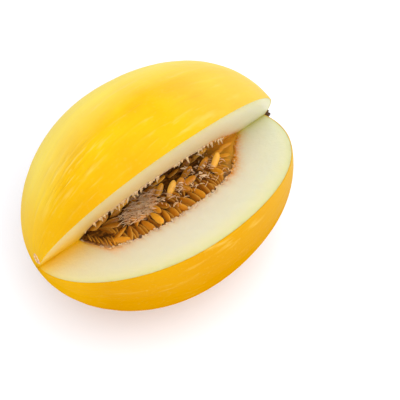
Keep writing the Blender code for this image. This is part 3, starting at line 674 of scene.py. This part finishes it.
def place_seed(seed, placed):
    """The matrix of one seed, about the melon's axis.

    It is slid back along its own length until it clears the cavity's wall, and sunk until a point
    of it lies in the plain form of the pulp or in a seed already in place.
    """
    along, out_by, lift, heading, rise_by, roll, size = seed
    out, off, stemward = Vector(LOWER_OUT), Vector(LOWER_OFF), Vector((1, 0, 0))
    flat = out * math.cos(math.radians(heading)) + stemward * math.sin(math.radians(heading))
    point_to = flat * math.cos(math.radians(rise_by)) + off * math.sin(math.radians(rise_by))
    upright = (off - point_to * off.dot(point_to)).normalized()
    face = Matrix.Rotation(math.radians(roll), 3, point_to) @ upright
    turn = Matrix((face.cross(point_to), face, point_to)).transposed()
    root = (stemward * along + out * out_by + off * lift) * MM
    for _ in range(40):
        worst = 0.0
        for share in (0, 0.15, 0.3, 0.5, 0.7, 0.85, 1):
            for side in (-1, 1):
                spread = math.sin(math.pi * share) * size
                point = root + point_to * share * SEED_LENGTH * size
                point += turn.col[0] * side * spread * SEED_WIDTH / 2
                wall = clear_radius(point.x, math.atan2(point.z, point.y))
                worst = max(worst, point.yz.length + SEED_THICKNESS / 2 * spread - wall)
        low_side = turn.col[1] * 0.3 * SEED_THICKNESS * size
        held = False
        for share in (0.2, 0.35, 0.5, 0.65):
            point = root + point_to * share * SEED_LENGTH * size - low_side
            held = held or inside_pulp(point, ROOT_MARGIN) or inside_seed(point, placed)
        if worst <= 0 and held:
            return Matrix.Translation(root) @ turn.to_4x4() @ Matrix.Scale(size, 4)
        if worst > 0:
            root -= point_to * 0.5 * MM + Vector((0, *root.yz.normalized())) * 0.2 * MM
        if not held:
            root -= off * 0.3 * MM
    return None


def seed_grid(rows, columns):
    """A seed along Z from its root: widths follow sin t and swell to the tip; the section is a lens.

    Gives its points, how near each is to the seed's edge, and its share of the length.
    """
    t = np.linspace(math.pi, 0, rows)[:, None]
    around = np.linspace(0, WHOLE_TURN, columns, endpoint=False)[None, :]
    share = 0.5 * (1 + np.cos(t))
    fullness = np.sin(t) * (0.62 + 0.45 * share)
    lens = np.sin(around) * (0.62 + 0.38 * np.abs(np.sin(around)))
    x = fullness * np.cos(around) * 0.45 * SEED_WIDTH
    y = fullness * lens * SEED_THICKNESS / 2
    z = np.broadcast_to(share * SEED_LENGTH, x.shape)
    edge = np.broadcast_to(np.abs(np.cos(around)) ** 3, x.shape)
    return np.stack((x, y, z), axis=-1), edge, z / SEED_LENGTH


placed = []
for seed in seed_rows(random.Random(RANDOM_SEED)):
    matrix = place_seed(seed, placed)
    if matrix is not None:
        placed.append(matrix)
draw = np.random.default_rng(5)
grid, edge, share = seed_grid(15, 20)
turns = np.array([[list(row) for row in matrix] for matrix in placed])
count = len(placed)
local = np.repeat(grid[None], count, axis=0)
local[..., 1] += draw.uniform(-0.5, 0.5, count)[:, None, None] * MM * (2 * share - 1) ** 2
local *= 1 + 0.025 * waves(local + draw.uniform(0, 1, (count, 1, 1, 3)), 5 * MM, 41)[..., None]
points = np.einsum("nij,nrcj->nrci", turns[:, :3, :3], local) + turns[:, None, None, :3, 3] + AXIS_PLACE
# A seed that lies deep in the pulp is painted darker, as shade from the pulp around it; the rest of its tone
# varies at random.
height = (turns[:, :3, 3] + turns[:, :3, 2] * 0.6 * SEED_LENGTH) @ LOWER_OFF / MM
tone_and_painted_shade = np.clip(0.5 + 0.2 * height + draw.uniform(-0.25, 0.25, count), 0, 1)
tone_and_painted_shade = np.broadcast_to(tone_and_painted_shade[:, None, None], points.shape[:-1])

# Melon seed in its thin wet coat: a smooth golden-brown husk, glossy with juice, paler at its
# edge and darker toward the root.
seed_mat = new_material("wet_melon_seed", "#d4871c", 0.4, Specular_IOR_Level=0.2, Coat_Weight=0.16,
                        Coat_Roughness=0.15, Subsurface_Weight=0.15, Subsurface_Scale=1 * MM,
                        Subsurface_Radius=(1.0, 0.5, 0.15))
place = add_node(seed_mat, "TexCoord", {}, "Object")
along_x = add_node(seed_mat, "SeparateXYZ", {0: place}, "X")
shade, rim, length = (add_node(seed_mat, "Attribute", {}, "Fac", attribute_name=key)
                      for key in ("tone_and_painted_shade", "edge", "share"))
colour = add_node(seed_mat, "ValToRGB", {0: shade}, stops=(
    (0.0, "#96560c"), (1.0, "#fcc04c"), (0.35, "#cf8214"), (0.7, "#eba428")))
blotches = add_node(seed_mat, "TexNoise", {"Vector": place, "Scale": 1 / (3 * MM), "Detail": 3.0})
dark = add_node(seed_mat, "Math", {0: blotches, 1: 2.0, 2: -0.9}, **RAMP)
dark = add_node(seed_mat, "Math", {0: dark, 1: 0.5}, **TIMES)
colour = add_node(seed_mat, "Mix", {0: dark, 6: colour, 7: "#a35a12"}, **BLEND)
rooted = add_node(seed_mat, "Math", {0: length, 1: -2.2, 2: 0.7}, **RAMP)
colour = add_node(seed_mat, "Mix", {0: rooted, 6: colour, 7: "#96540f"}, **BLEND)
rim = add_node(seed_mat, "Math", {0: rim, 1: 0.5}, **TIMES)
colour = add_node(seed_mat, "Mix", {0: rim, 6: colour, 7: "#f8c050"}, **BLEND)
jelly = add_node(seed_mat, "Math", {0: along_x, 1: 1 / (14 * MM), 2: -2.2}, **RAMP)
jelly = add_node(seed_mat, "Math", {0: jelly, 1: 0.6}, **TIMES)
add_node(seed_mat, "Mix", {0: jelly, 6: colour, 7: "#f4b030"}, to="Base Color", **BLEND)
husk = add_node(seed_mat, "TexNoise", {"Vector": place, "Scale": 1 / (0.8 * MM), "Detail": 3.0})
add_node(seed_mat, "Bump", {"Height": husk, "Distance": 0.12 * MM, "Strength": 0.4},
         to="Normal")
seeds = make_piece("seeds", points, many_quads(grid_quads(15, 20), 300, count), seed_mat,
                   {"tone_and_painted_shade": tone_and_painted_shade, "edge": np.broadcast_to(edge, tone_and_painted_shade.shape),
                    "share": np.broadcast_to(share, tone_and_painted_shade.shape)})
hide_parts("seed_mass")


# Threads: the torn strings that fed the seeds. A felted pad of them lies toward the blossom end,
# and single ones and scraps of skin cling to the seeds elsewhere.
draw = np.random.default_rng(17)
t = np.linspace(0, math.pi, 40)[:, None]
turn = np.linspace(0, WHOLE_TURN, 72, endpoint=False)[None, :]
# The pad and its pit: places along the axis and distances from it, in millimetres.
PAD_ALONG, PAD_OUT, PIT_ALONG, PIT_OUT = -21.5, 7.5, -22, 11
pad_along = PAD_ALONG * MM + 14 * MM * np.sin(t) * np.cos(turn)
pad_out = PAD_OUT * MM + 8.5 * MM * np.sin(t) * np.sin(turn) - 0.25 * (pad_along - PAD_ALONG * MM)
pad_lift = -0.8 * MM + 2.6 * MM * np.cos(t)
pad = on_face(pad_along, pad_out, pad_lift)
from_pit = (pad_along - PIT_ALONG * MM) ** 2 + (pad_out - PIT_OUT * MM) ** 2
pit = 3.4 * MM * np.exp(-from_pit / (3 * MM) ** 2)
pad += (0.9 * MM * waves(pad, 7 * MM, 71) + 0.45 * MM * waves(pad, 2.6 * MM, 72) - pit)[..., None] * LOWER_OFF

strands = 340
in_pad = np.arange(strands) < 240
centre_along = np.where(in_pad, PAD_ALONG + 11 * draw.normal(0, 0.55, strands),
                        draw.uniform(-12, 42, strands)) * MM
centre_out = np.where(in_pad, PAD_OUT + 7 * draw.normal(0, 0.5, strands), draw.uniform(6, 26, strands)) * MM
centre_out -= np.where(in_pad, 0.25 * (centre_along - PAD_ALONG * MM), 0)
# They curve round the pit in the pad.
from_pit = np.hypot(centre_along - PIT_ALONG * MM, centre_out - PIT_OUT * MM)
push = np.where(in_pad, np.maximum(1, 4.2 * MM / np.maximum(from_pit, 0.3 * MM)), 1)
centre_along = PIT_ALONG * MM + (centre_along - PIT_ALONG * MM) * push
centre_out = PIT_OUT * MM + (centre_out - PIT_OUT * MM) * push
heading = np.where(in_pad, draw.normal(0.9, 0.6, strands), draw.uniform(0, math.pi, strands))
reach = np.where(in_pad, draw.uniform(4, 12, strands), draw.uniform(2, 7, strands)) * MM / 2
lift = np.where(in_pad, draw.uniform(0.8, 2.4, strands), draw.uniform(0.2, 2.2, strands)) * MM
step_along, step_out = reach * np.sin(heading), reach * np.cos(heading)
bow = draw.normal(0, 0.35, strands) * reach
starts = on_face(centre_along - step_along, centre_out - step_out, lift - 0.8 * MM)
ends = on_face(centre_along + step_along, centre_out + step_out, lift - 0.8 * MM)
middles = on_face(centre_along + bow * np.cos(heading), centre_out - bow * np.sin(heading), lift + 0.7 * MM)
paths = curves(starts, middles, ends, 12)
paths += 0.3 * MM * waves(paths, 5 * MM, 73)[..., None] * LOWER_OFF
s = np.linspace(0, 1, 12)[None, :]
widths = draw.uniform(0.1, 0.26, strands)[:, None] * MM * np.sin(math.pi * s) ** 0.4
strand_points = tongues(paths, widths, widths, LOWER_OFF * 1.0 + 0.1, 6)

scraps = 42
clusters = np.array(((33.8, 2), (26.6, 8.8), (18.6, 4.2), (5.8, 16.5), (19, 18), (-10, 14)))
cluster = clusters[np.arange(scraps) % 6]
centre = cluster + draw.normal(0, 1.8, (scraps, 2))
heading = draw.uniform(0, math.pi, scraps)
reach = draw.uniform(1.2, 4.0, scraps) * MM / 2
lift = draw.uniform(1.2, 3.4, scraps) * MM
step_along, step_out = reach * np.sin(heading), reach * np.cos(heading)
starts = on_face(centre[:, 0] * MM - step_along, centre[:, 1] * MM - step_out, lift)
ends = on_face(centre[:, 0] * MM + step_along, centre[:, 1] * MM + step_out, lift * 0.6)
middles = (starts + ends) / 2 + LOWER_OFF * 0.8 * MM
paths = curves(starts, middles, ends, 12)
widths = draw.uniform(0.25, 0.7, scraps)[:, None] * MM * np.sin(math.pi * s) ** 0.5
scrap_points = tongues(paths, widths, widths * 0.3, LOWER_OFF * 0.3 + np.array((0.5, 0.6, 0.2)), 6)

# Wet seed strings: brown to pale orange and matted in the pad, pale peach where they lie single.
thread_mat = new_material("wet_seed_strings", "#c7a893", 0.4, Specular_IOR_Level=0.4, Subsurface_Weight=0.4,
                          Subsurface_Scale=1.5 * MM, Subsurface_Radius=(1.0, 0.6, 0.4))
place = add_node(thread_mat, "TexCoord", {}, "Object")
mat_noise = add_node(thread_mat, "TexNoise", {"Vector": place, "Scale": 1 / (2.6 * MM), "Detail": 5.0})
colour = add_node(thread_mat, "ValToRGB", {0: mat_noise}, stops=(
    (0.34, "#74400c"), (0.7, "#f6c488"), (0.46, "#bc7824"), (0.58, "#e2a052")))
single = add_node(thread_mat, "Attribute", {}, "Fac", attribute_name="single")
add_node(thread_mat, "Mix", {0: single, 6: colour, 7: "#f8cca0"}, to="Base Color", **BLEND)
add_node(thread_mat, "Bump", {"Height": mat_noise, "Distance": 0.5 * MM, "Strength": 0.7},
         to="Normal")
points = np.concatenate((pad.reshape(-1, 3), strand_points.reshape(-1, 3), scrap_points.reshape(-1, 3)))
quads = np.concatenate((grid_quads(40, 72), many_quads(grid_quads(12, 6), 72, strands + scraps) + 40 * 72))
make_piece("threads", points, quads, thread_mat,
           {"single": 0.8 * (np.arange(len(points)) >= 40 * 72)})


# Blossom scar: a low corky ring with a dark cleft, where the flower fell off. It is grown into
# the rind beside the upper cut.
SCAR_CENTRE = np.array((-90.9, 0.1, 10.4)) * MM + AXIS_PLACE
SCAR_OUT = np.array((-0.955, 0.02, 0.30))
SCAR_LONG = np.array((0.14, 0.80, 0.58))
scar_out = SCAR_OUT / np.linalg.norm(SCAR_OUT)
scar_long = SCAR_LONG - (SCAR_LONG @ scar_out) * scar_out
scar_long /= np.linalg.norm(scar_long)
scar_wide = np.cross(scar_out, scar_long)
t = np.linspace(0, math.pi, 60)[:, None]
turn = np.linspace(0, WHOLE_TURN, 64, endpoint=False)[None, :]
spread = np.sin(t)
long_way, wide_way = 3.6 * MM * spread * np.cos(turn), 2.3 * MM * spread * np.sin(turn)
crown = 0.75 * MM * np.exp(-((spread - 0.72) / 0.2) ** 2) * (np.cos(t) > 0)
cleft = (0.5 * MM * np.exp(-(wide_way / (0.5 * MM)) ** 2) * np.exp(-(long_way / (2.2 * MM)) ** 4)
         * (np.cos(t) > 0))
rise_by = crown - cleft + np.where(np.cos(t) > 0, 0.15, 1.2) * MM * np.cos(t)
points = (SCAR_CENTRE + long_way[..., None] * scar_long + wide_way[..., None] * scar_wide
          + rise_by[..., None] * scar_out)
points += 0.12 * MM * waves(points, 1.6 * MM, 81)[..., None] * scar_out
dark = np.exp(-(wide_way / (0.55 * MM)) ** 2) * np.exp(-(long_way / (2.4 * MM)) ** 4)
# Cork: dry, matt and pinkish buff, cracked to dark brown in the cleft.
scar_mat = new_material("corky_blossom_scar", "#d9b08c", 0.8)
place = add_node(scar_mat, "TexCoord", {}, "Object")
cork = add_node(scar_mat, "TexNoise", {"Vector": place, "Scale": 1 / (0.9 * MM), "Detail": 4.0})
colour = add_node(scar_mat, "ValToRGB", {0: cork}, stops=(
    (0.3, "#c08a5c"), (0.7, "#ecd2ba"), (0.5, "#dcb492")))
cleft_share = add_node(scar_mat, "Attribute", {}, "Fac", attribute_name="cleft")
add_node(scar_mat, "Mix", {0: cleft_share, 6: colour, 7: "#5a3620"}, to="Base Color", **BLEND)
add_node(scar_mat, "Bump", {"Height": cork, "Distance": 0.3 * MM, "Strength": 0.7},
         to="Normal")
make_piece("blossom_scar", points, grid_quads(60, 64), scar_mat,
           {"cleft": np.broadcast_to(dark, points.shape[:2])})


# Stalk: the dry stub left on the stem end. It is brown and fibrous, and was cut with the melon.
STALK_RADIUS, STALK_LENGTH = 3.2 * MM, 3.4 * MM
stations = ease(26)[:, None]
arc = np.linspace(LOWER_CUT, UPPER_CUT + WHOLE_TURN, 90)[None, :]
along = HALF_LENGTH + 0.35 * MM + stations * (STALK_LENGTH - 0.3 * MM)
capped = np.sqrt(1 - np.abs(2 * stations - 1) ** 10)
fluted = 1 - 0.07 * np.cos(11 * arc) ** 2 - 0.04 * np.cos(5 * arc + 1)
rim = about_axis(along, STALK_RADIUS * (0.98 - 0.2 * stations) * capped * fluted, arc)
hub = about_axis(along, np.zeros((1, 1)), np.zeros((1, 1)))
points = np.concatenate((rim, hub), axis=1)
# Dry stalk: dead brown fibres about 0.7 mm apart, matt and split lengthwise.
stalk_mat = new_material("dry_melon_stalk", "#4a2d14", 0.85)
place = add_node(stalk_mat, "TexCoord", {}, "Object")
lengthwise = add_node(stalk_mat, "Mapping", {"Vector": place, "Scale": (0.2, 1, 1)})
grain = add_node(stalk_mat, "TexNoise", {"Vector": lengthwise, "Scale": 1 / (0.7 * MM), "Detail": 4.0})
add_node(stalk_mat, "ValToRGB", {0: grain}, to="Base Color", stops=(
    (0.3, "#2a160a"), (0.75, "#7a5630"), (0.55, "#4c2f16")))
add_node(stalk_mat, "Bump", {"Height": grain, "Distance": 0.3 * MM, "Strength": 0.8},
         to="Normal")
stalk = make_piece("stalk", points, grid_quads(*points.shape[:2]), stalk_mat)
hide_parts("stalk_stub")


# Floor, light and camera: a white table under wide soft light, seen from above the open side.
floor_mesh = bpy.data.meshes.new("floor")
floor_mesh.from_pydata([(-3, -3, 0), (3, -3, 0), (3, 3, 0), (-3, 3, 0)], [], [(0, 1, 2, 3)])
floor = bpy.data.objects.new("floor", floor_mesh)
bpy.context.scene.collection.objects.link(floor)
floor_mesh.materials.append(new_material("matt_white_table", "#f4f7fd", 0.7, Specular_IOR_Level=0.2))

world = bpy.data.worlds.new("soft white room")
bpy.context.scene.world = world
world.use_nodes = True
world.node_tree.nodes["Background"].inputs["Color"].default_value = (1, 1, 1, 1)
world.node_tree.nodes["Background"].inputs["Strength"].default_value = 0.9


def add_softbox(name, place, size, power):
    """A square area light that points at the melon's middle."""
    light = bpy.data.lights.new(name, "AREA")
    light.size, light.energy = size, power
    lamp = bpy.data.objects.new(name, light)
    bpy.context.scene.collection.objects.link(lamp)
    lamp.location = place
    lamp.rotation_euler = (Vector(AXIS_PLACE) - lamp.location).to_track_quat("-Z", "Y").to_euler()


add_softbox("overhead softbox", Vector((0.05, -0.28, 1.10)), 1.1, 6.0)
add_softbox("front softbox", Vector((-0.10, -0.95, 0.65)), 0.8, 3.4)

# The lens looks past the melon, which stands a little left of and above the frame's middle. The
# aim is in pixels of a frame 400 wide, where this lens has a focal length of 700.
AIM_RIGHT, AIM_DOWN, FOCAL_PIXELS = 39.748, 14.892, 700
camera = bpy.data.cameras.new("camera")
camera.sensor_width, camera.lens, camera.clip_start = 36, 63, 0.01
azimuth, elevation, distance = math.radians(-39.248), math.radians(56), 445.7 * MM
back = Vector((math.sin(azimuth) * math.cos(elevation), -math.cos(azimuth) * math.cos(elevation),
               math.sin(elevation)))
right = (-back).cross(Vector((0, 0, 1))).normalized()
up = right.cross(-back)
pan = Matrix.Rotation(-math.atan(AIM_RIGHT / FOCAL_PIXELS), 3, up)
forward, right = pan @ -back, pan @ right
forward = Matrix.Rotation(-math.atan(AIM_DOWN / FOCAL_PIXELS), 3, right) @ forward
matrix = Matrix((right, right.cross(forward), -forward)).transposed().to_4x4()
matrix.translation = Vector(AXIS_PLACE) + back * distance
viewer = bpy.data.objects.new("camera", camera)
bpy.context.scene.collection.objects.link(viewer)
viewer.matrix_world = matrix
bpy.context.scene.camera = viewer
bpy.context.scene.view_settings.view_transform = "Standard"
